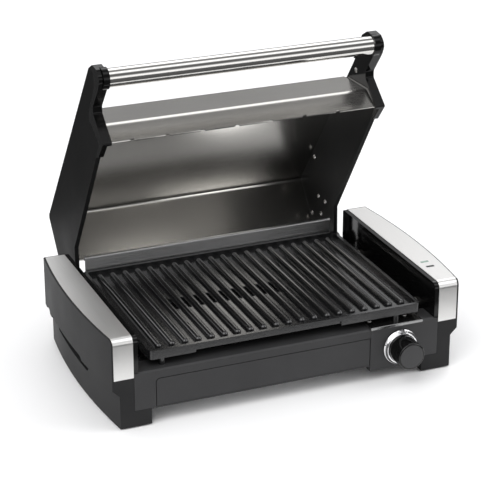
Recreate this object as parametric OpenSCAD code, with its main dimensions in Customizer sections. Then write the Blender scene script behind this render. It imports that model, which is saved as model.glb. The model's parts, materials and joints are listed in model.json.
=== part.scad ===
// Electric indoor grill with a hinged lid, a lift-off ribbed plate and a slide-out drip tray.
// Millimetres, +Z up, the worktop at Z = 0, the front towards -Y, the lid shown open.
// Lengths below are measured from the front face of the body (y = 0) and from the worktop.

/* [Body] */
// Depth of the body, front face to back face
body_depth = 243; // [235:1:255]
// Height of the top of both end housings
body_top = 108; // [104:1:116]
// Width of the cooking bay between the inner edges of the steel bands
bay_w = 365; // [360:1:390]
// Width of an end housing beyond the bay, at its front and back corners
end_w = 24.5; // [20:0.1:28]
// How far the outer side swells at mid depth
swell = 8.4; // [5:0.1:11]
// Radius of the front top corner of the end housings
corner_r = 8; // [5:0.5:10]
// Height of the shoulder where the outer side steps in
shoulder_z = 48.5; // [44:0.5:54]
// Width and height of that step
shoulder_step = 8; // [5:0.5:9]
// Wall of the moulded housings
wall = 2.5; // [2:0.1:3.5]
// Height of the rubber pads under the housings
pad_h = 1.5; // [1:0.1:3]
// Width of the sled that each end housing sends under the body
sled_w = 19.5; // [17:0.5:22]
// Height of the top of that sled
sled_top = 20; // [18:0.5:22]

/* [Steel bands] */
// Thickness of the steel of the bands
band_t = 0.8; // [0.5:0.1:1.2]
// Height of the lower end of a band on the front
band_low = 60; // [56:1:70]
// Black margin between a band and the outer side
band_margin = 2; // [1:0.1:4]
// Width of the inner cover's edge beside the band
cover_t = 5.3; // [4:0.1:7]

/* [Front] */
// Height of the front rail
rail_top = 65; // [62:0.5:67]
// Height of the top of the drip tray's opening
tray_gap_top = 54.7; // [50:0.1:58]
// Left end of the drip tray's opening, from the middle
tray_left = 157.8; // [120:0.1:160]
// Left end of the control panel, from the middle
panel_left = 98; // [80:0.5:105]
// Height of the top of the control panel
panel_top = 66.5; // [64:0.5:68]
// Height of the underside of the control panel
panel_low = 13; // [8:0.5:17]
// Thickness of the front mouldings
front_t = 3; // [2:0.1:4]
// Depth of the shelf behind the front rail
shelf_d = 27; // [22:0.5:30]

/* [Drip tray] */
// Gap around the front of the drip tray
tray_fit = 0.8; // [0.5:0.1:1.2]
// Height of the underside of the drip tray
tray_z = 21.3; // [21:0.1:24]
// Height of the pan of the drip tray
tray_h = 27; // [15:0.5:30]
// Distance from the back of the drip tray to the back of the body
tray_back_gap = 28; // [26:1:60]
// Thickness of the sheet of the pan
tray_t = 1; // [0.6:0.1:1.5]

/* [Grill plate] */
// Gap between the grill plate and the side panels of the shut lid
plate_side_gap = 1.7; // [1:0.1:5]
// Distance from the back of the grill plate to the back of the body
plate_back_gap = 7.7; // [7.5:0.1:12]
// Distance from the body's front face to the plate's front edge
plate_y = 5.9; // [5.5:0.1:9]
// Height of the top of the plate's rim and ribs
plate_top = 84.6; // [82:0.1:86]
// Height of the plate's edge
plate_edge = 10.3; // [8:0.1:12]
// Distance from one rib to the next
rib_pitch = 15.4; // [14:0.1:20]
// Radius of the rounded top of a rib
rib_r = 3.8; // [3:0.1:4.5]
// Radius of the posts that the plate stands on
post_r = 4; // [3:0.1:5]

/* [Heating] */
// Radius of the tubular heating element
element_r = 3.25; // [2.5:0.05:4]
// Height of the axis of the heating element
element_z = 66; // [65:0.5:68]
// Distance between the legs of the heating element
leg_pitch = 50; // [40:1:52]
// Thickness of the chassis and reflector sheet
sheet_t = 1.2; // [0.8:0.1:1.5]
// Height of the reflector under the element
reflector_z = 55.3; // [52:0.1:57]

/* [Knob] */
// Distance of the knob's axis from the middle
knob_x = 134.5; // [128:0.5:142]
// Height of the knob's axis
knob_z = 38.6; // [34:0.1:42]
// Radius of the chromed ring at the foot of the knob
knob_ring_r = 21; // [18:0.1:22]
// Radius of the knob's face
knob_r = 16; // [12:0.1:17]
// How far the knob stands out from the panel
knob_reach = 30.6; // [26:0.1:34]
// Radius of the thermostat's shaft
shaft_r = 3; // [2.5:0.1:3.2]

/* [Lid] */
// Angle through which the lid is open
lid_open = 58.3; // [45:0.1:65]
// Height of the lid's rim over the worktop when it is closed
rim_z = 84.5; // [84.5:0.1:90]
// Distance from the hinge's axis forward to the rim's back corner when the lid is closed
rim_ahead = 44.5; // [44:0.1:46]
// Distance of the lid's outer sides from the edges of the cooking bay
lid_side_gap = 13.3; // [12.5:0.1:14.5]
// Thickness of a side panel of the lid
side_t = 5; // [4:0.1:5.2]
// Width of the handle brackets
bracket_w = 10.9; // [10:0.1:14]
// Thickness of the edge of the handle brackets
bracket_t = 3.5; // [3:0.1:4]
// Thickness of the lid's steel skin
skin_t = 0.8; // [0.6:0.1:1]
// Distance from one vent notch of the lip to the next
notch_pitch = 41; // [35:1:50]
// Radius of the handle tube
tube_r = 10.5; // [9:0.1:11]
// Wall of the handle tube
tube_wall = 1.2; // [0.8:0.1:2]

/* [Hinge] */
// Distance of the hinge's axis behind the back of the body
hinge_behind = 7; // [6.8:0.1:9]
// Height of the hinge's axis
hinge_z = 66; // [64:0.1:68]
// Radius of the hinge pins
pin_r = 3; // [2.5:0.1:4]
// Radius of the ears around the pins
ear_r = 9; // [7:0.1:9.5]
// Thickness of the lugs on either side of an ear
lug_t = 5; // [3.5:0.1:5.2]

/* [Hidden] */
$fn = 48;
swell_fn = 960;                 // the swelling side has a radius of nearly a metre
fit = 0.3;                      // parting gap between neighbouring pieces
run = 0.05;                     // running clearance of pins and shafts
eps = 0.01;
round_n = 6;                    // steps of a small bend

half_bay = bay_w / 2;
lid_half = half_bay - lid_side_gap;
hinge_y = body_depth + hinge_behind;
rim_y = hinge_y - rim_ahead;
end_x = half_bay + end_w;
cover_x = half_bay - cover_t;   // inner face of the inner covers
swell_r = (pow(body_depth / 2, 2) + swell * swell) / (2 * swell);
swell_x = end_x + swell - swell_r;
back_r = 2.5;                   // radius of the back top edge of the housings
edge_cut = 1;                   // broken edge along the outer side of the top
sled_x = half_bay - sled_w;     // inner side of the sleds
front_half = half_bay - fit;    // ends of the front mouldings

// hand grips across the shoulder of each housing: [front, back] along the depth
grips = [[84, body_depth - 38], [body_depth - 31, body_depth - 9]];
grip_low = shoulder_z - 16.5;
grip_high = shoulder_z + 4;
grip_r = 7;
grip_depth = 12;
step_z = shoulder_z - shoulder_step;

// indicator lamps on the right band
lamp_ys = [46, 60];
lamp_x = half_bay + 12;
lens_w = 10;
lens_d = 3.6;

// cord inlet in the back of the right housing
inlet_x = half_bay + 7;
inlet_z = 28;
inlet_r = 4.6;

// screws, all with round heads
screw_r = 1.7;
screw_head_r = 3.2;
screw_head_h = 1.8;

// chassis and reflector
chassis_y0 = shelf_d + fit;
chassis_y1 = body_depth - front_t - fit;
chassis_z = 18;
chassis_half = cover_x - fit;
step_half = sled_x - fit;
shelf_t = 2.5;
rear_shelf_y = body_depth - 29;
reflector_y0 = shelf_d + 1.5;
reflector_y1 = rear_shelf_y - 1.5;
reflector_flange = 5;
rear_low = 50;                  // height of the rear wall beside the hinge ears
shield_top = 99.5;

// tray
tray_left_x = -(tray_left - tray_fit);
tray_right_x = panel_left - 1;
pan_left = tray_left_x + 3;
pan_right = panel_left - 7;
tray_d = body_depth - tray_back_gap - front_t;
runner_w = 8;

// element: four legs, three bends
element_y = body_depth / 2 - 1.5;
leg_ys = [for (i = [0 : 3]) element_y + (i - 1.5) * leg_pitch];
leg_left = 62.5 - half_bay;
leg_right = half_bay - 72.5;
clip_xs = [leg_left + 20, leg_right - 15];
terminal_x = half_bay + 4;

// opening that lets the fat from the plate's drain slots through the reflector
drain_x = -30;
drain_y = element_y;
drain_w = 140;
drain_l = 30;

// plate
plate_w = 2 * (lid_half - side_t - plate_side_gap);
plate_back = body_depth - plate_back_gap;
plate_d = plate_back - plate_y;
plate_rim = 4;
floor_z = plate_top - 5;
floor_t = 3.5;
plate_low = plate_top - plate_edge;
rib_n = floor((plate_w - 30) / rib_pitch);
rib_y0 = plate_y + 13;
rib_y1 = plate_back - 12;
post_x = plate_w / 2 - 16.5;
post_front = plate_y + 7;
post_back = plate_back - 12;
panel_post_x = plate_w / 2 - 28; // the front right post stands on the control panel
thin_edge = [53.5 - plate_w / 2, plate_w / 2 - 98.5]; // where the front edge is thinner

// hinge
ear_in = lid_half - side_t;
facet_half = lid_half - bracket_w; // ends of the lid's front facets
side_gap = 0.5;
lug_in0 = ear_in - side_gap - lug_t;
rear_half = lug_in0 - 0.7;      // half width of the upper rear wall and its shield
lug_out0 = lid_half + side_gap;

// lid outlines, as [distance forward of the rim's back corner, height over the rim], lid closed
lip = [203.3, -11.6];
soft_bend = [202.5, 15.5];
skin_front = [168.4, 66.9];
skin_back = [-50.9, 87.1];
skin_low = [-71, 28];
hem = 6;
tube_at = [255.9, 35.5];
hinge_at = [rim_y - hinge_y, hinge_z - rim_z];
panel_seam = [[173.4, -5.9], [194, -4.4], [194, 24.7], [191.4, 32.8], [199.3, 36.5],
              [241.4, 37.1], [254, 46.6]];
panel_crown = [[246.6, 60.3], [-51.6, 87.8], [-72, 28]];
bracket_front = [[246.6, 60.3], [260, 53], [266, 40], [264, 27], [250, 25.5], [218, 29.5],
                 [211, 25], [206, -14.6], [179.5, -10.9]];
bracket_r = [4, 8, 8, 8, 6, 6, 4, 2, 1.5];
bracket_bolts = [[197, 50], [232, 47]];
side_rivets = [[8, 74], [-25, 37], [-15, 20], [-59, 37], [-38, 19]];
leg_x = ear_in - 0.8;           // inner side of the bracket's leg, clear of the grill plate

// rows: the open lid reaches back, the knob reaches forward, and the origin is midway
lid_back = hinge_y + (rim_y - panel_crown[1][0] - hinge_y) * cos(lid_open)
         + (rim_z + panel_crown[1][1] - hinge_z) * sin(lid_open);
y_shift = (knob_reach - lid_back) / 2;
shell_black = "#3a3a3c";
gloss_black = "#161618";
steel = "#b9bab8";
bright = "#dcdcdc";

// ---------- geometry helpers ----------

function unit(v) = v / norm(v);
function left_of(v) = [-v[1], v[0]];
function turn(a) = a > 180 ? a - 360 : (a < -180 ? a + 360 : a);
function flip(list) = [for (i = [len(list) - 1 : -1 : 0]) list[i]];

// the arc that rounds corner b of the path a-b-c
function fillet(a, b, c, r, n = round_n) =
    let (p = unit(a - b), q = unit(c - b), half = acos(p * q) / 2,
         mid = b + unit(p + q) * r / sin(half), reach = r / tan(half),
         s = b + p * reach - mid, e = b + q * reach - mid,
         a0 = atan2(s[1], s[0]), da = turn(atan2(e[1], e[0]) - a0))
    [for (i = [0 : n]) mid + r * [cos(a0 + da * i / n), sin(a0 + da * i / n)]];

// an open path with its inner corners rounded
function bent(path, radii) =
    [for (i = [0 : len(path) - 1])
        each (i == 0 || i == len(path) - 1) ? [path[i]]
            : fillet(path[i - 1], path[i], path[i + 1], radii[i - 1])];

// a closed outline with its corners rounded where a radius is given
function loop_rounded(path, radii) =
    let (n = len(path))
    [for (i = [0 : n - 1])
        each radii[i] > 0 ? fillet(path[(i + n - 1) % n], path[i], path[(i + 1) % n], radii[i])
            : [path[i]]];

// the path moved sideways by d, to its left when d is positive
function beside(path, d) =
    let (n = len(path),
         normals = [for (i = [0 : n - 2]) left_of(unit(path[i + 1] - path[i]))])
    [for (i = [0 : n - 1])
        let (p = normals[max(i - 1, 0)], q = normals[min(i, n - 2)], m = unit(p + q))
        path[i] + m * d / (m * q)];

function sheet(path, t) = concat(path, flip(beside(path, t)));

// point of the closed lid: forward and up from the rim's back corner, as [y, z]
function on_rim(p) = [rim_y - p[0], rim_z + p[1]];
function all_on_rim(path) = [for (p = path) on_rim(p)];

// angle at which the line from point p touches the circle at c, on side s
function touch(c, r, p, s) = atan2(p[1] - c[1], p[0] - c[0]) + s * acos(r / norm(p - c));

module placed() { translate([0, y_shift, 0]) children(); }
module opened() {
    placed() translate([0, hinge_y, hinge_z]) rotate([-lid_open, 0, 0])
        translate([0, -hinge_y, -hinge_z]) children();
}
module sided(s) { if (s > 0) children(); else mirror([1, 0, 0]) children(); }
module both() { for (s = [-1, 1]) sided(s) children(); }

// a [y, z] outline drawn out along X, and an [x, z] outline drawn out along Y
module along_x(x0, x1) {
    translate([x0, 0, 0]) rotate([90, 0, 90]) linear_extrude(x1 - x0) children();
}
module along_y(y0, y1) {
    translate([0, y1, 0]) rotate([90, 0, 0]) linear_extrude(y1 - y0) children();
}
module block(a, b) { translate(a) cube(b - a); }
module rod_x(x0, x1, y, z, r) { translate([x0, y, z]) rotate([0, 90, 0]) cylinder(r = r, h = x1 - x0); }
module rod_y(x, y0, y1, z, r) { translate([x, y0, z]) rotate([-90, 0, 0]) cylinder(r = r, h = y1 - y0); }
module rod_z(x, y, z0, z1, r) { translate([x, y, z0]) cylinder(r = r, h = z1 - z0); }

// rectangle with its upper corners rounded, front radius rf and back radius rb
module slab(y0, z0, y1, z1, rf, rb) {
    translate([y0, z0]) square([rf, z1 - rf - z0]);
    translate([y1 - rb, z0]) square([rb, z1 - rb - z0]);
    translate([y0 + rf, z0]) square([y1 - rb - y0 - rf, z1 - z0]);
    translate([y0 + rf, z1 - rf]) circle(rf);
    translate([y1 - rb, z1 - rb]) circle(rb);
}

// rectangle with four round corners, around the origin
module pill(w, h, r) {
    square([w - 2 * r, h], center = true);
    square([w, h - 2 * r], center = true);
    for (x = [-1, 1], y = [-1, 1]) translate([x * (w / 2 - r), y * (h / 2 - r)]) circle(r);
}

// screw with a domed head: the head's underside at the origin, pointing down
module screw(length, head_r = screw_head_r) {
    rotate_extrude() polygon(concat([[0, -length], [screw_r, -length], [screw_r, 0], [head_r, 0]],
        [for (a = [0 : 15 : 90]) [head_r * cos(a), 0.4 + (screw_head_h - 0.4) * sin(a)]]));
}

// ---------- end housings ----------

// solid of the housing's outside, moved in by gap
module housing_form(gap) {
    intersection() {
        translate([swell_x, body_depth / 2, 0]) rotate_extrude($fn = swell_fn)
            polygon([[swell_r - 80, pad_h + gap], [swell_r - shoulder_step - gap, pad_h + gap],
                     [swell_r - shoulder_step - gap, step_z], [swell_r - gap, shoulder_z],
                     [swell_r - gap, body_top - gap - edge_cut], [swell_r - gap - edge_cut, body_top - gap],
                     [swell_r - 80, body_top - gap]]);
        along_x(half_bay - (gap > 0 ? 1 : 0), end_x + swell + 1)
            slab(gap, pad_h, body_depth - gap, body_top - gap, corner_r - min(gap, 4), back_r);
    }
}

// outline of one steel band, t thick, as it lies over the top and down the front
module band_outline(t) {
    difference() {
        slab(0, band_low, body_depth - back_r, body_top, corner_r, 0.5);
        slab(t, band_low - 1, body_depth, body_top - t, corner_r - t, 0.5);
    }
}

module band_form(t, grow) {
    intersection() {
        along_x(half_bay - grow, end_x + swell + 1) band_outline(t);
        translate([swell_x, body_depth / 2, 0])
            cylinder(r = swell_r - band_margin + grow, h = body_top + 1, $fn = swell_fn);
    }
}

// hand grips: d deep from the lower outer side, grown by g all round
module grip_cut(d, g) {
    h = grip_high - grip_low + 2 * g;
    intersection() {
        translate([swell_x, body_depth / 2, 0]) rotate_extrude($fn = swell_fn)
            translate([swell_r - shoulder_step - d - g, grip_low - g])
                square([d + g + shoulder_step, h]);
        for (s = grips) along_x(half_bay, end_x + swell)
            translate([(s[0] + s[1]) / 2, (grip_low + grip_high) / 2])
                pill(s[1] - s[0] + 2 * g, h, grip_r + g);
    }
}

boss_r = 5;
base_screw_x = sled_x + boss_r + 2;
base_screw_ys = [38, body_depth / 2, body_depth - 38];
pad_r = 7;
pad_sink = 1.5;
pad_ys = [18, body_depth - 18];
pad_x = half_bay + 3;

module end_housing(s) {
    placed() sided(s) color(shell_black) difference() {
        union() {
            difference() {
                union() {
                    housing_form(0);
                    block([sled_x, 0, pad_h], [half_bay, body_depth, sled_top]);
                }
                housing_form(wall);
                block([sled_x + wall, wall, pad_h + wall],
                      [half_bay + wall, body_depth - wall, sled_top - wall]);
            }
            intersection() { housing_form(0); grip_cut(grip_depth, wall); }
            for (y = base_screw_ys) rod_z(base_screw_x, y, pad_h, sled_top, boss_r);
        }
        grip_cut(grip_depth, 0);
        band_form(band_t + 0.1, 0.1);
        for (y = base_screw_ys) {
            rod_z(base_screw_x, y, 0, sled_top + 1, screw_r + 0.1);
            rod_z(base_screw_x, y, 0, 8, screw_head_r + fit);
        }
        for (y = pad_ys) rod_z(pad_x, y, 0, pad_h + pad_sink, pad_r);
        if (s > 0) {
            rod_y(inlet_x, body_depth - wall - 1, body_depth + 1, inlet_z, inlet_r);
            for (y = lamp_ys) translate([lamp_x, y, body_top - 6])
                linear_extrude(7) pill(lens_w + 0.2, lens_d + 0.2, 1.1);
        }
    }
}

module steel_band(s) {
    placed() sided(s) color(steel) difference() {
        band_form(band_t, 0);
        if (s > 0) for (y = lamp_ys) translate([lamp_x, y, body_top - 3])
            linear_extrude(4) pill(lens_w + 0.2, lens_d + 0.2, 1.1);
    }
}

wire_hole_y = 33;
wire_hole_z = knob_z + 0.9;
bushing_r = 4.6;

// wall of the bay, a channel that closes the housing's inner side
module inner_cover(s) {
    web = 2.2;
    low = sled_top + fit;
    placed() sided(s) color(gloss_black) difference() {
        along_x(cover_x, half_bay - 0.1) slab(0, low, body_depth, body_top - 0.5, corner_r, back_r);
        along_x(cover_x + web, half_bay + 1)
            slab(front_t + fit + web, low + web, body_depth - web, body_top - 0.5 - web,
                 corner_r - web, back_r);
        block([cover_x - 1, -1, low - 1], [half_bay + 1, front_t + fit, (s > 0 ? panel_top : rail_top) + fit]);
        if (s > 0) {
            for (y = [leg_ys[0], leg_ys[3]]) rod_x(cover_x - 1, half_bay + 1, y, element_z, bushing_r + run);
            rod_x(cover_x - 1, half_bay + 1, wire_hole_y, wire_hole_z, 5);
        }
    }
}

// ---------- front ----------

rail_cut = 1.6;
jamb_w = 4;

module front_frame() {
    sill = tray_z - 0.4;
    low = sled_top + fit;
    placed() color(shell_black) {
        difference() {
            along_y(0, front_t) difference() {
                translate([-front_half, chassis_z + 1.3]) square([front_half + panel_left - fit, rail_top - chassis_z - 1.3]);
                translate([-tray_left, sill]) square([tray_left + panel_left, tray_gap_top - sill]);
                translate([-front_half - 1, 0]) square([front_half + 1 - sled_x + fit, low]);
            }
            along_x(-front_half - 1, panel_left)
                polygon([[-1, rail_top - rail_cut], [0, rail_top - rail_cut], [rail_cut, rail_top], [rail_cut, rail_top + 1], [-1, rail_top + 1]]);
        }
        // rounded upper left corner of the opening
        translate([-tray_left, 0, tray_gap_top]) difference() {
            block([0, 0, -5], [5, front_t, 0]);
            rod_y(5, -1, front_t + 1, -5, 5);
        }
        block([-cover_x + fit, front_t, rail_top - shelf_t], [panel_left - fit, shelf_d, rail_top]);
        block([panel_left - fit - jamb_w, front_t + 0.4, sled_top], [panel_left - fit, front_t + 6, rail_top - shelf_t]);
        block([-tray_left - wall, front_t, low], [-tray_left, shelf_d, rail_top - shelf_t]);
    }
}

module panel_outline(x0) {
    polygon([[x0, panel_low], [sled_x - 3, panel_low], [sled_x - 3, sled_top + fit],
             [front_half, sled_top + fit], [front_half, rail_top], [sled_x, panel_top], [x0, panel_top]]);
}

panel_screw_xs = [panel_left + 6, panel_left + 50];
panel_screw_y = 18;
trim_end = sled_x - 0.5;
trim_t = 0.6;

module control_panel() {
    placed() color(shell_black) difference() {
        union() {
            along_y(0, front_t) panel_outline(panel_left);
            block([panel_left, 0, panel_low], [panel_left + wall, shelf_d, panel_top]);
            block([panel_left, 0, panel_top - wall], [cover_x - fit, shelf_d, panel_top]);
            block([panel_left, 0, panel_low], [sled_x - 3, shelf_d, panel_low + wall]);
            for (x = panel_screw_xs) rod_z(x, panel_screw_y, panel_top - 9, panel_top, 3.4);
        }
        rod_y(knob_x, -1, front_t + 1, knob_z, 4 + run);
        for (x = panel_screw_xs) rod_z(x, panel_screw_y, panel_top - 10, panel_top + 1, screw_r + 0.1);
        along_x(cover_x - fit - 20, front_half + 1)
            polygon([[-1, rail_top - rail_cut + 1.2], [0, rail_top - rail_cut + 1.2], [1.2, rail_top + 1.2], [1.2, panel_top + 1], [-1, panel_top + 1]]);
    }
}

module panel_edge_trim() {
    placed() color(bright) difference() {
        along_x(panel_left, trim_end)
            polygon([[-0.6, panel_top - 2.6], [0, panel_top - 2.6], [0, panel_top],
                     [shelf_d, panel_top], [shelf_d, panel_top + trim_t],
                     [-0.2, panel_top + trim_t], [-0.6, panel_top + trim_t - 0.4]]);
        for (x = panel_screw_xs) rod_z(x, panel_screw_y, panel_top - 1, panel_top + 1, screw_r + 0.1);
    }
}

module panel_screws() {
    placed() color(bright) for (x = panel_screw_xs)
        translate([x, panel_screw_y, panel_top + trim_t]) screw(8);
}

// ---------- knob and thermostat ----------

thermostat_y = front_t + 4;
nut_y = -2.8;
bush_r = 4;

// puts a solid of revolution, drawn upwards, onto the knob's axis so that it points to the front
module on_knob() { placed() translate([knob_x, 0, knob_z]) rotate([90, 0, 0]) children(); }

module thermostat_body() {
    placed() color("#8d8f86") difference() {
        union() {
            block([knob_x - 15, thermostat_y, knob_z - 12], [knob_x + 15, thermostat_y + 20, knob_z + 12]);
            rod_y(knob_x, nut_y - 1.2, thermostat_y, knob_z, bush_r);
            rod_y(knob_x, front_t, thermostat_y, knob_z, 8);
            for (x = [-9, 9]) block([knob_x + x - 3, thermostat_y + 20, knob_z - 1], [knob_x + x + 3, thermostat_y + 27, knob_z]);
        }
        rod_y(knob_x, -10, thermostat_y + 8, knob_z, shaft_r + run);
    }
}

module thermostat_nut() {
    placed() color(steel) translate([knob_x, -0.1, knob_z]) rotate([90, 0, 0]) difference() {
        cylinder(r = 6.4, h = 2.4, $fn = 6);
        translate([0, 0, -1]) cylinder(r = bush_r + run, h = 5);
    }
}

shaft_front = 22;
module thermostat_shaft() {
    placed() color(steel) difference() {
        rod_y(knob_x, -shaft_front, thermostat_y + 7.5, knob_z, shaft_r);
        block([knob_x - 4, -shaft_front - 1, knob_z + shaft_r - 1], [knob_x + 4, -9, knob_z + 4]);
    }
}

ring_d = 7.5;                   // depth of the chromed ring along the axis
ring_in = knob_r + 1.1;
ring_rim = knob_ring_r - 2.2;    // radius of the ring's front rim
knob_back = 1.2;

module knob() {
    on_knob() color(gloss_black) difference() {
        rotate_extrude($fn = 96) polygon(concat(
            [[0, knob_back], [ring_in - 0.1, knob_back], [ring_in - 0.1, ring_d], [knob_r + 0.6, ring_d + 0.6]],
            fillet([knob_r + 0.6, ring_d], [knob_r, knob_reach], [0, knob_reach], 1.6),
            [[0, knob_reach]]));
        translate([0, 0, 0]) cylinder(r = 9.5, h = 8.5);
        translate([0, 0, knob_reach - 0.8]) cylinder(r = knob_r - 1.9, h = 2);
        difference() {
            cylinder(r = shaft_r + 0.02, h = shaft_front + 0.4);
            block([-4, shaft_r - 1 + 0.02, 9], [4, 5, shaft_front + 2]);
        }
    }
}

module knob_ring() {
    on_knob() color(bright) difference() {
        union() {
            rotate_extrude($fn = 96) polygon(concat(
                [[ring_in, knob_back], [knob_ring_r, knob_back], [knob_ring_r, knob_back + 1.6],
                 [knob_ring_r - 0.8, knob_back + 2.4], [ring_rim, ring_d - 1]],
                [for (a = [30 : 20 : 90]) [ring_rim - 0.8 + 0.8 * cos(a), ring_d - 0.8 + 0.8 * sin(a)]],
                [[ring_in, ring_d]]));
            // pointer at the top of the ring
            translate([0, 0, knob_back]) linear_extrude(pointer_h) pointer_outline(0);
        }
        translate([0, 0, knob_back + pointer_h - 0.7]) linear_extrude(1) pointer_outline(1);
    }
}

pointer_h = 7.8;
module pointer_outline(inset) {
    polygon([[inset - 3.4, ring_in + 0.5 + inset], [3.4 - inset, ring_in + 0.5 + inset], [2.8 - inset, ring_in + 4.4 - inset / 2],
             [0, ring_in + 5.6 - inset], [inset - 2.8, ring_in + 4.4 - inset / 2]]);
}

module knob_cap() {
    on_knob() color(shell_black) translate([0, 0, knob_reach - 0.8]) cylinder(r = knob_r - 2, h = 0.8);
}

// ---------- chassis, rear, heating ----------

module chassis_pan() {
    half_path = [[chassis_half, reflector_z - 0.1], [chassis_half, sled_top + fit],
                 [step_half, sled_top + fit], [step_half, chassis_z], [0, chassis_z]];
    placed() color("#8a8c8e") difference() {
        union() {
            both() along_y(chassis_y0, chassis_y1) polygon(sheet(half_path, -sheet_t));
            for (x = [-120, 60]) block([x - runner_w / 2, chassis_y0, chassis_z], [x + runner_w / 2, chassis_y1, tray_z - fit]);
        }
        both() for (y = base_screw_ys) rod_z(base_screw_x, y, sled_top - 1, sled_top + 3, screw_r + 0.1);
        rod_x(cover_x - 3, cover_x + 1, wire_hole_y, wire_hole_z, 5);
    }
}

module base_screws() {
    placed() color(steel) both() for (y = base_screw_ys)
        translate([base_screw_x, y, 8]) mirror([0, 0, 1]) screw(14);
}

module rubber_feet() {
    placed() color("#202020") both() for (y = pad_ys) rotate_pad(pad_x, y);
}
module rotate_pad(x, y) {
    translate([x, y, 0]) rotate_extrude()
        polygon([[0, 0], [pad_r - 1, 0], [pad_r - 0.2, 0.8], [pad_r - 0.2, pad_h + pad_sink], [0, pad_h + pad_sink]]);
}

module rear_cover() {
    placed() color(shell_black) {
        along_y(body_depth - front_t, body_depth) {
            translate([-chassis_half, sled_top + fit]) square([2 * chassis_half, rear_low - sled_top - fit]);
            translate([-step_half, chassis_z]) square([2 * step_half, rear_low - chassis_z]);
            translate([-rear_half, chassis_z]) square([2 * rear_half, rail_top - chassis_z]);
        }
        block([-rear_half, rear_shelf_y, rail_top - shelf_t], [rear_half, body_depth, rail_top]);
        for (i = [-2 : 2]) let (x = i * rear_half * 0.35) along_x(x - 1, x + 1)
            polygon([[body_depth - front_t, 40], [body_depth - front_t, rail_top - shelf_t], [rear_shelf_y + 4, rail_top - shelf_t]]);
    }
}

module rear_shield() {
    face = body_depth - front_t - 0.1;
    path = [[face - 11, rail_top + 0.1], [face, rail_top + 0.1], [face, shield_top], [face + 3, shield_top], [face + 3, shield_top - 5]];
    placed() color("#77797b") along_x(-rear_half, rear_half) polygon(sheet(bent(path, [1.5, 1.2, 1.2]), 0.8));
}

module heat_reflector() {
    w = chassis_half - 0.5;
    placed() color("#a9abad") difference() {
        union() {
            along_x(-w, w) polygon(sheet(bent([[reflector_y0, reflector_z + reflector_flange], [reflector_y0, reflector_z],
                [reflector_y1, reflector_z], [reflector_y1, reflector_z + reflector_flange]], [2, 2]), 0.8));
        }
        translate([drain_x, drain_y, reflector_z - 1]) linear_extrude(4) pill(drain_w, drain_l, 8);
    }
}

module leg(y, x0, x1) { rod_x(x0, x1, y, element_z, element_r); }
module bend(x, y, s) {
    translate([x, y, element_z]) rotate([0, 0, s > 0 ? -90 : 90])
        rotate_extrude(angle = 180, $fn = 64) translate([leg_pitch / 2, 0]) circle(element_r);
}
module heating_element() {
    placed() color("#4a4744") {
        leg(leg_ys[0], leg_left, terminal_x);
        leg(leg_ys[1], leg_left, leg_right);
        leg(leg_ys[2], leg_left, leg_right);
        leg(leg_ys[3], leg_left, terminal_x);
        bend(leg_left, (leg_ys[0] + leg_ys[1]) / 2, -1);
        bend(leg_right, (leg_ys[1] + leg_ys[2]) / 2, 1);
        bend(leg_left, (leg_ys[2] + leg_ys[3]) / 2, -1);
        for (y = [leg_ys[0], leg_ys[3]]) rod_x(terminal_x - 1, terminal_x + 9, y, element_z, 1.4);
    }
}

// saddles that carry the element on the reflector
module element_clips() {
    base = reflector_z + 0.8;
    placed() color(steel) for (x = clip_xs, y = leg_ys) difference() {
        union() {
            block([x - 4, y - 7, base], [x + 4, y + 7, base + 1]);
            block([x - 4, y - element_r - 1.3, base], [x + 4, y + element_r + 1.3, element_z]);
        }
        rod_x(x - 5, x + 5, y, element_z, element_r + run);
        block([x - 5, y - element_r - run, base + 1], [x + 5, y + element_r + run, element_z - element_r - 0.6]);
    }
}

module terminal_bushings() {
    placed() color("#e6e1d4") for (y = [leg_ys[0], leg_ys[3]]) difference() {
        union() {
            rod_x(cover_x - 4, cover_x + 5, y, element_z, bushing_r);
            rod_x(cover_x - 4, cover_x - fit, y, element_z, 6.2);
        }
        rod_x(cover_x - 5, cover_x + 6, y, element_z, element_r + run);
    }
}

fuse_y = element_y - 2;
fuse_x = leg_right + leg_pitch / 2; // middle of the thermal fuse
module thermal_fuse() {
    base = reflector_z + 0.8;
    placed() color("#c9b98f") {
        rod_x(fuse_x - 7, fuse_x + 7, fuse_y, base + 3, 2);
        rod_x(fuse_x - 13, fuse_x + 13, fuse_y, base + 3, 0.6);
        for (x = [fuse_x - 12, fuse_x + 10]) block([x, fuse_y - 2, base], [x + 2, fuse_y + 2, base + 4.2]);
    }
}

block_x = inlet_x - 4;
block_y = body_depth - 37;
module terminal_block() {
    low = pad_h + wall;
    placed() color("#d9d6c8") difference() {
        block([block_x, block_y, low], [block_x + 8, block_y + 26, low + 13]);
        for (i = [0 : 2]) {
            rod_z(inlet_x, block_y + 5 + 8 * i, low + 6, low + 14, 2);
            rod_x(block_x - 1, block_x + 9, block_y + 5 + 8 * i, low + 4.5, 1.3);
        }
    }
}

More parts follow.
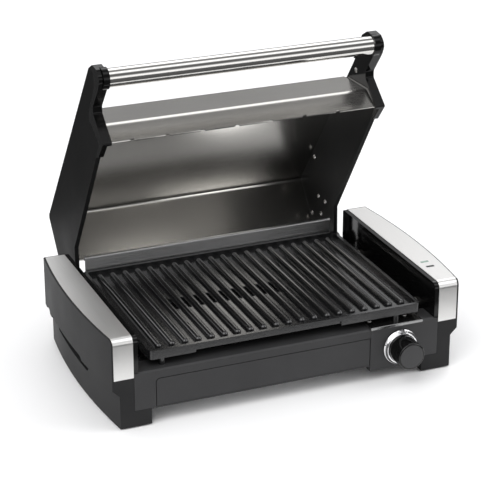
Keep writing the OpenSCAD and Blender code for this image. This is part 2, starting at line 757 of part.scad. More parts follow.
// leads: each run ends a little past the next one, which is slightly thinner
wire_r = 1.2;
module wiring() {
    lead_x = half_bay + 12;
    clamp_z = pad_h + wall + 4.5;
    clamp_y = block_y + 5;
    leg_z = element_z - 9;
    thin = wire_r - 0.2;
    placed() color("#b8322a") {
        // mains lead from the cord inlet to the terminal block
        rod_y(inlet_x, clamp_y + 15.4, body_depth - wall - 0.2, inlet_z, wire_r);
        rod_z(inlet_x, clamp_y + 16, clamp_z + 2.5, inlet_z + 0.6, thin);
        // lead from the terminal block to the thermostat
        rod_x(half_bay + 0.2, block_x + 7, clamp_y, clamp_z, wire_r);
        rod_z(half_bay + 1.4, clamp_y, clamp_z - 0.6, 26.6, thin);
        rod_y(half_bay + 1.4, wire_hole_y - 0.6, clamp_y + 0.6, 26, thin - 0.1);
        rod_z(half_bay + 1.4, wire_hole_y, 25.4, wire_hole_z + 0.5, thin - 0.2);
        rod_x(knob_x + 6.5, half_bay + 2, wire_hole_y, wire_hole_z, thin - 0.3);
        // link between the element's ends, with the lamps' lead
        for (y = [leg_ys[0], leg_ys[3]]) rod_z(lead_x, y, leg_z - 0.6, element_z - 1.45, thin);
        rod_y(lead_x, leg_ys[0] - 0.6, leg_ys[3] + 0.6, leg_z, thin - 0.1);
        rod_z(lead_x, 53, leg_z - 0.5, body_top - 12.4, thin - 0.2);
    }
}

module indicator_lenses() {
    placed() color("#7fb08c") for (y = lamp_ys) translate([lamp_x, y, body_top - 5])
        linear_extrude(5.2) pill(lens_w, lens_d, 1);
}

module indicator_lamps() {
    placed() color("#c8502c") for (y = lamp_ys) {
        rod_z(lamp_x, y, body_top - 12, body_top - 5.2, 2);
        block([lamp_x - 4, y - 4, body_top - 13], [lamp_x + 4, y + 4, body_top - 12]);
    }
}

module cord_inlet() {
    placed() color("#1c1c1c") difference() {
        union() {
            rod_y(inlet_x, body_depth - wall - 3, body_depth + 1, inlet_z, inlet_r - 0.1);
            rod_y(inlet_x, body_depth + 0.1, body_depth + 3, inlet_z, inlet_r + 2);
        }
        rod_y(inlet_x, body_depth - 10, body_depth + 4, inlet_z, 3);
    }
}

// ---------- hinges ----------

hinge_low = 34;
hinge_high = rear_low - fit;

module hinge_bracket(s) {
    face = body_depth + 0.1;
    placed() sided(s) color("#2a2a2c") difference() {
        union() {
            block([lug_in0, face, hinge_low], [lug_out0 + lug_t, face + 3, hinge_high]);
            for (x = [lug_in0, lug_out0]) {
                rod_x(x, x + lug_t, hinge_y, hinge_z, ear_r);
                along_x(x, x + lug_t) polygon([[face, hinge_low], [face + 3, hinge_low],
                    [hinge_y + ear_r, hinge_z], [face, hinge_z]]);
            }
        }
        rod_x(lug_in0 - 1, lug_out0 + lug_t + 1, hinge_y, hinge_z, pin_r + run);
        for (z = hinge_screw_zs) rod_y((ear_in + lid_half) / 2, face - 1, face + 4, z, screw_r + 0.1);
    }
}

hinge_screw_zs = [38, 45];
module hinge_pin(s) {
    placed() sided(s) color(steel) {
        rod_x(lug_in0 - 2, lug_out0 + lug_t + 0.2, hinge_y, hinge_z, pin_r);
        rod_x(lug_out0 + lug_t + 0.2, lug_out0 + lug_t + 2, hinge_y, hinge_z, pin_r + 2);
    }
}

module hinge_screws() {
    placed() color(steel) both() for (z = hinge_screw_zs)
        translate([(ear_in + lid_half) / 2, body_depth + 3.1, z]) rotate([-90, 0, 0]) screw(2.9, side_t / 2 + side_gap - 0.3);
}

// ---------- drip tray ----------

module drip_tray_front() {
    low = tray_z;
    high = tray_gap_top - tray_fit;
    r = 4.2;
    placed() color(shell_black) difference() {
        union() {
            along_y(0, front_t) {
                translate([tray_left_x + r, low]) square([tray_right_x - tray_left_x - r, high - low]);
                translate([tray_left_x, low]) square([r, high - r - low]);
                translate([tray_left_x + r, high - r]) circle(r);
            }
        }
        // finger hollow along the back of the lower edge
        block([tray_left_x + 60, 1.4, low - 1], [tray_right_x - 60, front_t + 1, low + 6]);
    }
}

module drip_tray_pan() {
    high = tray_z + tray_h;
    y0 = front_t + 0.1;
    placed() color("#9a9c9e") {
        difference() {
            block([pan_left, y0, tray_z], [pan_right, y0 + tray_d, high]);
            block([pan_left + tray_t, y0 + tray_t, tray_z + tray_t], [pan_right - tray_t, y0 + tray_d - tray_t, high + 1]);
        }
        for (x = [pan_left, pan_right - 3]) block([x, y0, high - tray_t], [x + 3, y0 + tray_d, high]);
    }
}

// ---------- grill plate ----------

module plate_blank(grow, r) {
    translate([0, plate_y + plate_d / 2]) pill(plate_w - 2 * grow, plate_d - 2 * grow, r);
}

module grill_plate() {
    placed() color("#29292b") difference() {
        union() {
            difference() {
                translate([0, 0, plate_low]) linear_extrude(plate_edge) plate_blank(0, 5);
                translate([0, 0, floor_z]) linear_extrude(plate_edge) plate_blank(plate_rim, 3);
                translate([0, 0, plate_low - 1]) linear_extrude(floor_z - floor_t - plate_low + 1) plate_blank(plate_rim, 3);
                block([thin_edge[0], plate_y - 1, plate_low - 1], [thin_edge[1], plate_y + plate_rim + 1, floor_z - floor_t]);
                block([thin_edge[0], plate_y - 1, plate_low - 1], [thin_edge[1], plate_y + plate_rim / 2, plate_top - 5.2]);
            }
            for (i = [0 : rib_n]) let (x = (i - rib_n / 2) * rib_pitch) intersection() {
                union() {
                    rod_y(x, rib_y0 + rib_r, rib_y1 - rib_r, plate_top - rib_r, rib_r);
                    for (y = [rib_y0 + rib_r, rib_y1 - rib_r]) {
                        translate([x, y, plate_top - rib_r]) sphere(r = rib_r);
                        rod_z(x, y, floor_z - 1, plate_top - rib_r, rib_r);
                    }
                    block([x - rib_r, rib_y0 + rib_r, floor_z - 1], [x + rib_r, rib_y1 - rib_r, plate_top - rib_r]);
                }
                block([x - 2 * rib_r, rib_y0 - 1, floor_z - 0.5], [x + 2 * rib_r, rib_y1 + 1, plate_top + 1]);
            }
            rod_z(-post_x, post_front, rail_top, floor_z - 1, post_r);
            rod_z(panel_post_x, post_front, panel_top + trim_t, floor_z - 1, post_r);
            for (x = [-post_x, post_x]) rod_z(x, post_back, rail_top, floor_z - 1, post_r);
        }
        // drain slots between the ribs, over the reflector's opening
        for (i = [0 : rib_n - 1]) let (x = (i - rib_n / 2 + 0.5) * rib_pitch)
            if (abs(x - drain_x) < drain_w / 2) translate([x, drain_y, floor_z - floor_t - 1])
                linear_extrude(floor_t + 2) pill(4, drain_l, 1.9);
    }
}

// ---------- lid ----------

module lid_outline(inset_rim = 0) {
    ear0 = touch(hinge_at, ear_r, [0, 0], -1);
    ear1 = touch(hinge_at, ear_r, panel_crown[2], 1) - 360;
    ear = [for (i = [0 : 8]) hinge_at + ear_r * [cos(ear0 + (ear1 - ear0) * i / 8), sin(ear0 + (ear1 - ear0) * i / 8)]];
    front = loop_rounded(concat(panel_seam, panel_crown, [[0, 0], [173.2, 0]]),
                         [0.5, 2, 2.5, 2, 2.5, 4, 3, 5, 6, 2, 0, 0.5]);
    // the outline runs from the seam over the crown and the back to the ear, and back along the rim
    polygon(all_on_rim(concat([for (i = [0 : len(front) - 1]) if (norm(front[i]) > eps && !(front[i][0] > 170 && front[i][1] > -5.5 && front[i][1] < 3 && front[i][0] < 174)) front[i]],
                              flip(ear), [[0, 0]])));
}

module lid_side(s) {
    opened() sided(s) color(shell_black) difference() {
        union() {
            along_x(ear_in, lid_half) lid_outline();
        }
        rod_x(ear_in - 1, lid_half + 1, hinge_y, hinge_z, pin_r + run);
        for (p = side_rivets) let (q = on_rim(p)) rod_x(ear_in - 1, ear_in + 3.2, q[0], q[1], 1.55);
        for (p = bracket_bolts) let (q = on_rim(p)) rod_x(ear_in - 1, ear_in + 3.2, q[0], q[1], screw_r + 0.05);
    }
}

module skin_outline() {
    path = bent([lip, soft_bend, skin_front, skin_back, skin_low], [14, 7, 6]);
    polygon(all_on_rim(sheet(path, skin_t)));
    polygon(all_on_rim([lip, lip + [-2 * skin_t, 0], lip + [-2 * skin_t, hem], lip + [0, hem]]));
    polygon(all_on_rim([skin_low, skin_low + [0.3, 0.8], skin_low + [5.3, -1.2], skin_low + [5, -2]]));
}

module lid_skin() {
    wide = ear_in - fit;
    opened() color(steel) difference() {
        union() {
            along_x(-facet_half, facet_half) skin_outline();
            intersection() {
                along_x(-wide, wide) skin_outline();
                block([-wide - 1, rim_y - skin_front[0] + 3, rim_z], [wide + 1, hinge_y + 60, rim_z + 120]);
            }
        }
        for (i = [0 : 6]) let (x = -134 + notch_pitch * i, q = on_rim(lip))
            block([x - 2.5, q[0] - 1, q[1] - 1], [x + 2.5, q[0] + 3, q[1] + 2]);
    }
}

module bracket_outline() {
    inner = [panel_seam[0], soft_bend - [17, 3], [skin_front[0] + 1.5, panel_crown[0][1]]];
    polygon(all_on_rim(loop_rounded(concat(bracket_front, inner), concat(bracket_r, [0, 0, 0]))));
}

// the rounded edge that runs round the tube, over the waist and down to the foot
module bracket_edge() {
    radii = [for (i = [1 : len(bracket_r) - 2]) max(bracket_r[i], bracket_t + 0.5)];
    difference() {
        bracket_outline();
        polygon(all_on_rim(concat(beside(bent(bracket_front, radii), -bracket_t), [[160, -12], [160, 64]])));
    }
}

// all that lies in front of the skin's facets
module before_facets() {
    far = tube_at[0] + 25;
    low = lip[1] - 8;
    polygon(all_on_rim([[skin_front[0] + 0.6, 80], [far, 80], [far, low], [lip[0] - 2, low],
                        [lip[0] - 2, soft_bend[1] - 1], [skin_front[0] + 0.6, skin_front[1] - 2]]));
}

module handle_bracket(s) {
    q = on_rim(tube_at);
    opened() sided(s) color(gloss_black) difference() {
        union() {
            along_x(leg_x, lid_half) difference() { bracket_outline(); lid_outline(); }
            // web inside the side panel, and the edge that stands out from it
            along_x(ear_in - bracket_t, ear_in - 0.1)
                intersection() { bracket_outline(); before_facets(); }
            along_x(facet_half + fit, ear_in - 0.1)
                intersection() { bracket_edge(); before_facets(); }
            rod_x(facet_half - 1.1, ear_in, q[0], q[1], tube_r + 1.8);
        }
        rod_x(facet_half - 2, ear_in + 0.5, q[0], q[1], tube_r + run);
        for (p = bracket_bolts) let (c = on_rim(p)) rod_x(facet_half - 2, ear_in, c[0], c[1], screw_r + 0.1);
    }
}

module handle_tube() {
    q = on_rim(tube_at);
    opened() color(steel) difference() {
        rod_x(-ear_in, ear_in, q[0], q[1], tube_r);
        rod_x(-ear_in - 1, ear_in + 1, q[0], q[1], tube_r - tube_wall);
    }
}

module handle_screws() {
    opened() color(bright) both() for (p = bracket_bolts) let (c = on_rim(p))
        translate([ear_in - bracket_t, c[0], c[1]]) rotate([0, -90, 0]) screw(6);
}

module lid_rivets() {
    opened() color(bright) both() for (p = side_rivets) let (c = on_rim(p))
        translate([ear_in, c[0], c[1]]) rotate([0, -90, 0]) rotate_extrude()
            polygon([[0, -3], [1.5, -3], [1.5, 0], [2.8, 0], [2.4, 0.9], [1.4, 1.5], [0, 1.7]]);
}

end_housing(-1);  // end_housing_left
end_housing(1);  // end_housing_right
inner_cover(-1);  // inner_cover_left
inner_cover(1);  // inner_cover_right
steel_band(-1);  // steel_band_left
steel_band(1);  // steel_band_right
front_frame();
control_panel();
panel_edge_trim();
panel_screws();
chassis_pan();
rear_cover();
rear_shield();
heat_reflector();
heating_element();
element_clips();
terminal_bushings();
thermal_fuse();
terminal_block();
wiring();
thermostat_body();
thermostat_nut();
thermostat_shaft();
knob();
knob_ring();
knob_cap();
indicator_lenses();
indicator_lamps();
cord_inlet();
rubber_feet();
base_screws();
hinge_bracket(-1);  // hinge_bracket_left
hinge_bracket(1);  // hinge_bracket_right
hinge_pin(-1);  // hinge_pin_left
hinge_pin(1);  // hinge_pin_right
hinge_screws();
drip_tray_front();
drip_tray_pan();
grill_plate();
lid_skin();
lid_side(-1);  // lid_side_left
lid_side(1);  // lid_side_right
handle_bracket(-1);  // handle_bracket_left
handle_bracket(1);  // handle_bracket_right
handle_tube();
handle_screws();
lid_rivets();
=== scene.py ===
import json
import math
import bpy
from mathutils import Matrix, Vector


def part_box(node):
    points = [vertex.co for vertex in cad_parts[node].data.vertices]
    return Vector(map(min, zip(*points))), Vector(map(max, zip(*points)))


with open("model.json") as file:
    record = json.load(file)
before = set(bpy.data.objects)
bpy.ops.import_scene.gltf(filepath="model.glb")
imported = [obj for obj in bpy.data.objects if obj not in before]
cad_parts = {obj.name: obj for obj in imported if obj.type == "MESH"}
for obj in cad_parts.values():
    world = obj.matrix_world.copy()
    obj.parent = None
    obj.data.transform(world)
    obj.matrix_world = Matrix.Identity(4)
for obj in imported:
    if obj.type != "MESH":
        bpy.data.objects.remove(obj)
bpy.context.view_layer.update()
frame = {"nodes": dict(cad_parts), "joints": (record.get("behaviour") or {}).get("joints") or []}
nodes = frame["nodes"]

MM = 0.001
# the camera and the flag stand off from the front face of the front frame
FRONT_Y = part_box("front_frame")[0][1]
# degrees that the lid turns from rest, as photographed, to shut
LID_OPEN = next(joint["range_deg"][1] for joint in frame["joints"] if joint["name"] == "lid_hinge")


def place(name, data):
    """A new object that shows this data."""
    piece = bpy.data.objects.new(name, data)
    bpy.context.scene.collection.objects.link(piece)
    return piece


def set_sockets(node, values):
    for socket, value in values.items():
        node.inputs[socket].default_value = value


# ---------- nodes that materials and the world are made of ----------

def axes(tree):
    """X, Y and Z apart: of the direction in the world, and from 0 to 1 over the box of a piece."""
    coord = tree.nodes.new("ShaderNodeTexCoord")
    split = tree.nodes.new("ShaderNodeSeparateXYZ")
    tree.links.new(coord.outputs["Generated"], split.inputs["Vector"])
    return split.outputs["X"], split.outputs["Y"], split.outputs["Z"]


def maths(tree, operation, a, b):
    node = tree.nodes.new("ShaderNodeMath")
    node.operation = operation
    for socket, value in zip(node.inputs, (a, b)):
        if isinstance(value, float):
            socket.default_value = value
        else:
            tree.links.new(value, socket)
    return node.outputs["Value"]


def mix_colours(tree, factor, a, b):
    mix = tree.nodes.new("ShaderNodeMix")
    mix.data_type = "RGBA"
    tree.links.new(factor, mix.inputs["Factor"])
    tree.links.new(a, mix.inputs["A"])
    tree.links.new(b, mix.inputs["B"])
    return mix.outputs["Result"]


def between(tree, fac, low, high, start=0.3, end=0.7):
    """From low, where fac is start, to high, where it is end."""
    node = tree.nodes.new("ShaderNodeMapRange")
    set_sockets(node, {"From Min": start, "From Max": end, "To Min": low, "To Max": high})
    tree.links.new(fac, node.inputs["Value"])
    return node.outputs["Result"]


def colour_ramp(tree, fac, low, high, start=0.3, end=0.7):
    ramp = tree.nodes.new("ShaderNodeValToRGB")
    first, last = ramp.color_ramp.elements
    first.position = start
    last.position = end
    first.color = (*low, 1.0)
    last.color = (*high, 1.0)
    tree.links.new(fac, ramp.inputs["Fac"])
    return ramp.outputs["Color"]


def texture(tree, kind, sockets, stretch=(1.0, 1.0, 1.0)):
    """A texture over the object's own coordinates in metres, multiplied by stretch."""
    coord = tree.nodes.new("ShaderNodeTexCoord")
    mapping = tree.nodes.new("ShaderNodeMapping")
    mapping.inputs["Scale"].default_value = stretch
    tree.links.new(coord.outputs["Object"], mapping.inputs["Vector"])
    node = tree.nodes.new(kind)
    tree.links.new(mapping.outputs["Vector"], node.inputs["Vector"])
    set_sockets(node, sockets)
    return node


def noise(tree, scale, detail):
    return texture(tree, "ShaderNodeTexNoise", {"Scale": scale, "Detail": detail}).outputs["Fac"]


def bump(tree, shader, height, strength, distance):
    node = tree.nodes.new("ShaderNodeBump")
    set_sockets(node, {"Strength": strength, "Distance": distance})
    tree.links.new(height, node.inputs["Height"])
    tree.links.new(node.outputs["Normal"], shader.inputs["Normal"])


# ---------- materials ----------

GRAIN_DEPTH = 0.12 * MM     # moulded plastic
BRUSH_DEPTH = 0.03 * MM     # brushed steel
METAL_DEPTH = 0.05 * MM     # plain metal
PEEL_DEPTH = 0.15 * MM      # non-stick coating
BRUSH_LINES = 5200.0        # noise across the brushed lines, to the metre
BRUSH_LENGTH = 420.0        # how many times its width a brushed line is long
QUARTER_TURN = 0.25
CLEAR_IOR = 1.49


def grey(level):
    return level, level, level


def tones(colour, darker, lighter):
    """The colour times each of two factors, for the ends of a ramp."""
    return tuple(c * darker for c in colour), tuple(min(1.0, c * lighter) for c in colour)


def new_material(name):
    mat = bpy.data.materials.new(name)
    mat.use_nodes = True
    tree = mat.node_tree
    return mat, tree, tree.nodes["Principled BSDF"]


def paint(tree, shader, colour, rough):
    tree.links.new(colour, shader.inputs["Base Color"])
    tree.links.new(rough, shader.inputs["Roughness"])


def matt(name, dark, light, rough, scale):
    """Floor and cloth: faint changes between two greys."""
    mat, tree, shader = new_material(name)
    tone = colour_ramp(tree, noise(tree, scale, detail=2.0), grey(dark), grey(light))
    tree.links.new(tone, shader.inputs["Base Color"])
    shader.inputs["Roughness"].default_value = rough
    return mat


def plastic(name, colour, rough, grain=0.25, grain_scale=900.0, shine=0.5):
    """Moulded plastic: a fine grain, and slow changes of tone and gloss over the surface."""
    mat, tree, shader = new_material(name)
    slow = noise(tree, scale=14.0, detail=4.0)
    fine = noise(tree, scale=grain_scale, detail=3.0)
    paint(tree, shader, colour_ramp(tree, slow, *tones(colour, 0.88, 1.14)),
          between(tree, slow, rough * 0.88, min(1.0, rough * 1.15)))
    bump(tree, shader, fine, grain, GRAIN_DEPTH)
    shader.inputs["Specular IOR Level"].default_value = shine
    return mat


def brushed(name, colour, rough, along, strength=0.05, spread=0.05, across=0.75):
    """Brushed steel: fine lines that run along one axis, over slow changes of gloss."""
    mat, tree, shader = new_material(name)
    stretch = [BRUSH_LINES] * 3
    stretch["XYZ".index(along)] = BRUSH_LINES / BRUSH_LENGTH
    lines = texture(tree, "ShaderNodeTexNoise", {"Scale": 1.0, "Detail": 3.0, "Roughness": 0.6},
                    stretch).outputs["Fac"]
    slow = noise(tree, scale=9.0, detail=3.0)
    fine_change, slow_change = 0.1 * rough, 0.02
    gloss = maths(tree, "ADD", between(tree, lines, -fine_change, fine_change),
                  between(tree, slow, rough - slow_change, rough + slow_change))
    paint(tree, shader, colour_ramp(tree, lines, *tones(colour, 1 - spread, 1 + spread)), gloss)
    # the gloss spreads across the lines: the tangent is X, turned where the lines run along X
    turn = QUARTER_TURN if along == "X" else 0.0
    set_sockets(shader, {"Metallic": 1.0, "Anisotropic": across, "Anisotropic Rotation": turn})
    tangent = tree.nodes.new("ShaderNodeCombineXYZ")
    tangent.inputs["X"].default_value = 1.0
    tree.links.new(tangent.outputs["Vector"], shader.inputs["Tangent"])
    bump(tree, shader, lines, strength, BRUSH_DEPTH)
    return mat


def metal(name, colour, rough, grain=0.08, grain_scale=260.0, metallic=1.0):
    """Plain metal: fine unevenness and a little wear in its gloss."""
    mat, tree, shader = new_material(name)
    fine = noise(tree, scale=grain_scale, detail=5.0)
    slow = noise(tree, scale=30.0, detail=3.0)
    paint(tree, shader, colour_ramp(tree, slow, *tones(colour, 0.92, 1.06)),
          between(tree, fine, rough * 0.8, rough * 1.25))
    shader.inputs["Metallic"].default_value = metallic
    bump(tree, shader, fine, grain, METAL_DEPTH)
    return mat


def nonstick(name):
    """Cast plate under a dark coating: orange peel, tiny flecks, gloss that varies."""
    mat, tree, shader = new_material(name)
    fleck_colour, coating_colour = (0.018, 0.018, 0.0185), (0.008, 0.008, 0.0085)
    flecks = texture(tree, "ShaderNodeTexVoronoi", {"Scale": 1300.0}).outputs["Distance"]
    slow = noise(tree, scale=18.0, detail=4.0)
    peel = noise(tree, scale=420.0, detail=2.0)
    paint(tree, shader,
          colour_ramp(tree, flecks, fleck_colour, coating_colour, start=0.02, end=0.16),
          between(tree, slow, low=0.16, high=0.25))
    bump(tree, shader, peel, strength=0.35, distance=PEEL_DEPTH)
    shader.inputs["Specular IOR Level"].default_value = 0.8
    return mat


def tinted(name, colour, rough, clear):
    """Clear plastic, tinted through: clear is the share of light that passes."""
    mat, tree, shader = new_material(name)
    cloud = noise(tree, scale=300.0, detail=2.0)
    paint(tree, shader, colour_ramp(tree, cloud, *tones(colour, 0.85, 1.0)),
          between(tree, cloud, rough * 0.8, rough * 1.2))
    set_sockets(shader, {"Transmission Weight": clear, "IOR": CLEAR_IOR})
    return mat


def lens_pair(name):
    """Two windows in one node: the front one is smoked, the back one pale green."""
    mat, tree, shader = new_material(name)
    cloud = noise(tree, scale=300.0, detail=2.0)
    smoked = colour_ramp(tree, cloud, (0.05, 0.055, 0.055), (0.07, 0.075, 0.075))
    green = colour_ramp(tree, cloud, (0.36, 0.50, 0.43), (0.44, 0.60, 0.52))
    depth = axes(tree)[1]
    is_back = between(tree, depth, 0.0, 1.0, start=0.49, end=0.51)
    paint(tree, shader, mix_colours(tree, is_back, smoked, green),
          between(tree, cloud, low=0.12, high=0.18))
    set_sockets(shader, {"Transmission Weight": 0.25, "IOR": CLEAR_IOR})
    return mat


# ---------- camera ----------

# solved from the straight edges in the photograph
CAMERA_AT = (-0.7491, FRONT_Y - 1.6779, 0.963)
CAMERA_DOWN = 23.13     # degrees below level
CAMERA_RIGHT = 22.66    # degrees to the right of square on
LENS = 133.9            # mm, for a sensor of the width below
SENSOR = 36.0
NEAREST, FARTHEST = 0.05, 60.0     # what it shows, in metres from it


def add_camera():
    data = bpy.data.cameras.new("camera")
    data.lens = LENS
    data.sensor_width = SENSOR
    data.clip_start = NEAREST
    data.clip_end = FARTHEST
    camera = place("camera", data)
    camera.location = CAMERA_AT
    camera.rotation_euler = (math.radians(90 - CAMERA_DOWN), 0.0, math.radians(-CAMERA_RIGHT))
    bpy.context.scene.camera = camera


# ---------- floor and flag ----------

FLOOR_HALF = 60.0
# the flag is a ring: how far out it reaches, and the opening in it that the grill stands in
FLAG_REACH = 5.0
OPENING_HALF = 0.42
OPENING_FRONT = FRONT_Y - 0.15
OPENING_BACK = 0.42
FLAG_Z = 0.002


def rectangle(left, front, right, back, z):
    return [(left, front, z), (right, front, z), (right, back, z), (left, back, z)]


def level_sheet(name, points, faces, mat):
    mesh = bpy.data.meshes.new(name)
    mesh.from_pydata(points, [], faces)
    mesh.materials.append(mat)
    return place(name, mesh)


def add_floor():
    outline = rectangle(-FLOOR_HALF, -FLOOR_HALF, FLOOR_HALF, FLOOR_HALF, 0.0)
    paper = matt("floor", dark=0.93, light=0.95, rough=0.75, scale=3.0)
    floor = level_sheet("floor", outline, [(0, 1, 2, 3)], paper)


def add_flag():
    """Dark cloth round the table, which only reflections show, for the steel to mirror."""
    outer = rectangle(-FLAG_REACH, -FLAG_REACH, FLAG_REACH, FLAG_REACH, FLAG_Z)
    inner = rectangle(-OPENING_HALF, OPENING_FRONT, OPENING_HALF, OPENING_BACK, FLAG_Z)
    sides = [(i, (i + 1) % 4, (i + 1) % 4 + 4, i + 4) for i in range(4)]
    cloth = matt("flag", dark=0.05, light=0.07, rough=0.9, scale=40.0)
    flag = level_sheet("flag", outer + inner, sides, cloth)
    flag.visible_camera = False
    flag.visible_diffuse = False
    flag.visible_shadow = False
    flag.visible_transmission = False


# ---------- light ----------

# light of the studio by the angle about X, as stops of (place, level): 0 is the horizon behind,
# 0.5 is overhead and 1 is the horizon in front. The strips are soft lamps with dark gaps between
# them, for the steel to mirror, and stand to the right. The calm light is all round.
STRIPS = ((0.0, 0.55), (0.08, 0.36), (0.12, 0.4), (0.155, 0.66), (0.19, 2.2), (0.27, 3.2),
          (0.345, 2.0), (0.385, 0.6), (0.44, 0.34), (0.5, 0.2), (0.55, 1.0), (0.61, 2.2),
          (0.66, 1.4), (0.72, 0.2), (0.82, 0.14), (0.87, 0.5), (0.92, 1.5), (0.97, 1.6), (1.0, 1.2))
CALM = ((0.0, 0.85), (0.12, 0.64), (0.28, 0.64), (0.5, 1.4), (0.72, 0.95), (0.86, 0.6), (1.0, 0.8))
SKY_BLUE = 1.01             # blue, to one of red and of green
# the strips come in and go out between these shares of X in the direction that is looked in
STRIPS_IN = (0.0, 0.16)
STRIPS_OUT = (0.56, 0.74)


def add_area(name, at, target, width, height, watts, shape="RECTANGLE"):
    data = bpy.data.lights.new(name, "AREA")
    data.shape = shape
    data.size = width
    data.size_y = height
    data.energy = watts
    lamp = place(name, data)
    lamp.location = at
    aim = Vector(target) - Vector(at)
    lamp.rotation_euler = aim.to_track_quat("-Z", "Y").to_euler()
    return lamp


def add_lights():
    add_area("key", at=(-1.7, -1.5, 2.6), target=(0, 0, 0.1), width=2.4, height=2.4, watts=42)
    add_area("right", at=(2.4, -1.2, 1.4), target=(0, 0, 0.15), width=1.6, height=2.0, watts=20)
    rim = add_area("rim", at=(-1.1, 2.8, 1.25), target=(0, 0, 0.1), width=1.6, height=1.0, watts=4)
    # a soft bounce from above the plate, as food on it gives, into the open lid
    bounce = add_area("bounce", at=(0.08, 0.045, 0.11), target=(0.08, 0.115, 0.6),
                      width=0.15, height=0.12, watts=0.20, shape="ELLIPSE")
    for lamp in (rim, bounce):
        lamp.visible_camera = False


def sky_ramp(tree, angle, stops):
    ramp = tree.nodes.new("ShaderNodeValToRGB")
    ramp.color_ramp.interpolation = "EASE"
    elements = ramp.color_ramp.elements
    # the new stops get their places below
    while len(elements) < len(stops):
        elements.new(0.5)
    for stop, (where, level) in zip(elements, stops):
        stop.position = where
        stop.color = (level, level, level * SKY_BLUE, 1.0)
    tree.links.new(angle, ramp.inputs["Fac"])
    return ramp.outputs["Color"]


def add_world():
    """Calm light all round, but for the strips over a part of the right side."""
    world = bpy.data.worlds.new("world")
    bpy.context.scene.world = world
    world.use_nodes = True
    tree = world.node_tree
    x, y, z = axes(tree)
    angle = maths(tree, "DIVIDE", maths(tree, "ARCTAN2", z, y), math.pi)
    rise = between(tree, x, 0.0, 1.0, *STRIPS_IN)
    fall = between(tree, x, 1.0, 0.0, *STRIPS_OUT)
    light = mix_colours(tree, maths(tree, "MULTIPLY", rise, fall),
                        sky_ramp(tree, angle, CALM), sky_ramp(tree, angle, STRIPS))
    background = tree.nodes["Background"]
    background.inputs["Strength"].default_value = 1.0
    tree.links.new(light, background.inputs["Color"])


# ---------- dressing the nodes ----------

# how wide the edges are rounded
MOULDED_EDGE = 0.45 * MM
SHEET_EDGE = 0.2 * MM
BAND_EDGE = 0.35 * MM
PLATE_EDGE = 0.6 * MM
KNOB_EDGE = 0.5 * MM
RING_EDGE = 0.25 * MM
EDGE_SEGMENTS = 2           # flat steps round an edge
EDGE_ANGLE = 35             # degrees: flatter turns stay as they are
LIP_FLAT = 0.74 * MM        # set back to each side of the lip's edge
LIP_NEAR = 0.3 * MM         # corners this near the lip's foremost line are on it
LIP_ANGLE = 30              # degrees: sharper turns of the folded steel stay crisp
SAME_CORNER = 0.005 * MM    # corners nearer than this are one


def pair(stem):
    return f"{stem}_left", f"{stem}_right"


def dress(mat, *names):
    for name in names:
        mesh = nodes[name].data
        if not mesh.materials:
            mesh.materials.append(mat)
        for i in range(len(mesh.materials)):
            mesh.materials[i] = mat


def join_corners(name):
    """The frame's file keeps a corner for each face: a rounded edge needs them joined."""
    weld = nodes[name].modifiers.new("weld", "WELD")
    weld.merge_threshold = SAME_CORNER


def weigh_normals(name):
    """Large faces keep their own normal, and the rounded edges take up the turn."""
    weigh = nodes[name].modifiers.new("weigh", "WEIGHTED_NORMAL")
    weigh.mode = "FACE_AREA"
    weigh.keep_sharp = True


def soften(width, *names):
    """Small rounded edges, as moulded and folded pieces have."""
    for name in names:
        join_corners(name)
        bevel = nodes[name].modifiers.new("edge", "BEVEL")
        bevel.width = width
        bevel.segments = EDGE_SEGMENTS
        bevel.limit_method = "ANGLE"
        bevel.angle_limit = math.radians(EDGE_ANGLE)
        bevel.use_clamp_overlap = True
        weigh_normals(name)


def brighten_lip():
    """A flat ground along the lower front edge of the lid's lip, which catches the light."""
    skin = nodes["lid_skin"]
    # in the shut lid the lip's edge is the point farthest forward and down
    outward = Matrix.Rotation(math.radians(-LID_OPEN), 3, "X") @ Vector((0.0, -1.0, -1.0))
    reach = [(skin.matrix_world @ vertex.co).dot(outward) for vertex in skin.data.vertices]
    farthest = max(reach)
    lip = skin.vertex_groups.new(name="lip")
    lip.add([i for i, far in enumerate(reach) if far > farthest - LIP_NEAR], 1.0, "REPLACE")
    join_corners("lid_skin")
    bevel = skin.modifiers.new("lip", "BEVEL")
    bevel.width = LIP_FLAT
    bevel.segments = 1
    bevel.limit_method = "VGROUP"
    bevel.vertex_group = "lip"
    bevel.use_clamp_overlap = False
    split = skin.modifiers.new("split", "EDGE_SPLIT")
    split.split_angle = math.radians(LIP_ANGLE)
    weigh_normals("lid_skin")


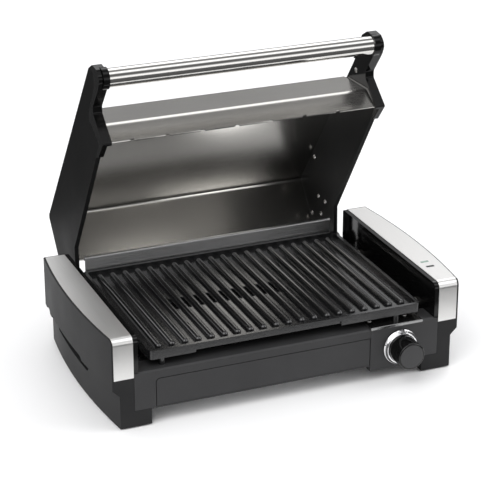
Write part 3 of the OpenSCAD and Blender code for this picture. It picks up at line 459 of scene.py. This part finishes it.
def dress_plastic():
    dress(plastic("housing", (0.024, 0.024, 0.0245), rough=0.45, grain=0.22, shine=0.06),
          *pair("end_housing"), "rear_cover")
    dress(plastic("front", (0.036, 0.036, 0.037), rough=0.44, grain=0.22, shine=0.2),
          "front_frame", "control_panel", "drip_tray_front")
    dress(plastic("side", grey(0.009), rough=0.45, grain=0.12, shine=0.04),
          *pair("lid_side"), *pair("hinge_bracket"))
    dress(plastic("gloss", grey(0.003), rough=0.10, grain=0.02, grain_scale=500.0, shine=0.35),
          *pair("inner_cover"), "knob")
    dress(plastic("bracket", grey(0.003), rough=0.12, grain=0.02, grain_scale=500.0, shine=0.2),
          *pair("handle_bracket"))
    dress(plastic("cap", (0.04, 0.04, 0.041), rough=0.4, grain=0.2, shine=0.3), "knob_cap")
    dress(plastic("ceramic", (0.10, 0.097, 0.09), rough=0.6, grain=0.3, grain_scale=400.0),
          "terminal_bushings", "thermal_fuse")
    dress(plastic("terminal", (0.62, 0.6, 0.52), rough=0.5), "terminal_block")
    dress(plastic("wire", (0.42, 0.05, 0.04), rough=0.45), "wiring")
    dress(plastic("rubber", grey(0.02), rough=0.75, grain=0.5, grain_scale=600.0),
          "rubber_feet", "cord_inlet")
    dress(nonstick("plate"), "grill_plate")
    dress(lens_pair("lens"), "indicator_lenses")
    dress(tinted("lamp", (0.85, 0.35, 0.2), rough=0.1, clear=0.5), "indicator_lamps")


def dress_metal():
    dress(brushed("band", (0.82, 0.815, 0.80), rough=0.38, along="Y", spread=0.03, across=0.8),
          *pair("steel_band"))
    dress(brushed("skin", (0.43, 0.42, 0.40), rough=0.21, along="X", spread=0.04, across=0.3),
          "lid_skin")
    dress(brushed("tube", (0.66, 0.65, 0.63), rough=0.08, along="X", strength=0.02, across=0.2),
          "handle_tube")
    dress(brushed("shield", grey(0.50), rough=0.30, along="X"), "rear_shield")
    dress(brushed("ledge", grey(0.34), rough=0.22, along="X", across=0.3), "panel_edge_trim")
    dress(metal("chrome", (0.80, 0.80, 0.81), rough=0.07, grain=0.02), "knob_ring")
    dress(metal("screw", (0.42, 0.41, 0.4), rough=0.26), "panel_screws", "base_screws", "hinge_screws",
          *pair("hinge_pin"), "handle_screws", "lid_rivets", "thermostat_nut", "thermostat_shaft")
    dress(metal("zinc", (0.45, 0.46, 0.47), rough=0.42, grain=0.15, grain_scale=90.0),
          "chassis_pan", "element_clips", "thermostat_body")
    dress(metal("mirror", grey(0.66), rough=0.25, grain=0.1, grain_scale=60.0), "heat_reflector")
    dress(metal("element", (0.09, 0.085, 0.08), rough=0.6, grain=0.3, grain_scale=300.0, metallic=0.6),
          "heating_element")
    dress(metal("pan", grey(0.62), rough=0.35, grain=0.12, grain_scale=120.0), "drip_tray_pan")


def round_edges():
    soften(MOULDED_EDGE, *pair("end_housing"), "front_frame", "control_panel", "drip_tray_front",
           *pair("inner_cover"), *pair("lid_side"), *pair("handle_bracket"), "rear_cover",
           *pair("hinge_bracket"))
    soften(SHEET_EDGE, "rear_shield", "panel_edge_trim")
    soften(BAND_EDGE, *pair("steel_band"))
    soften(PLATE_EDGE, "grill_plate")
    soften(KNOB_EDGE, "knob")
    soften(RING_EDGE, "knob_ring", "knob_cap")
    brighten_lip()


bpy.context.scene.view_settings.view_transform = "Standard"
add_camera()
add_floor()
add_lights()
add_flag()
add_world()
dress_plastic()
dress_metal()
round_edges()
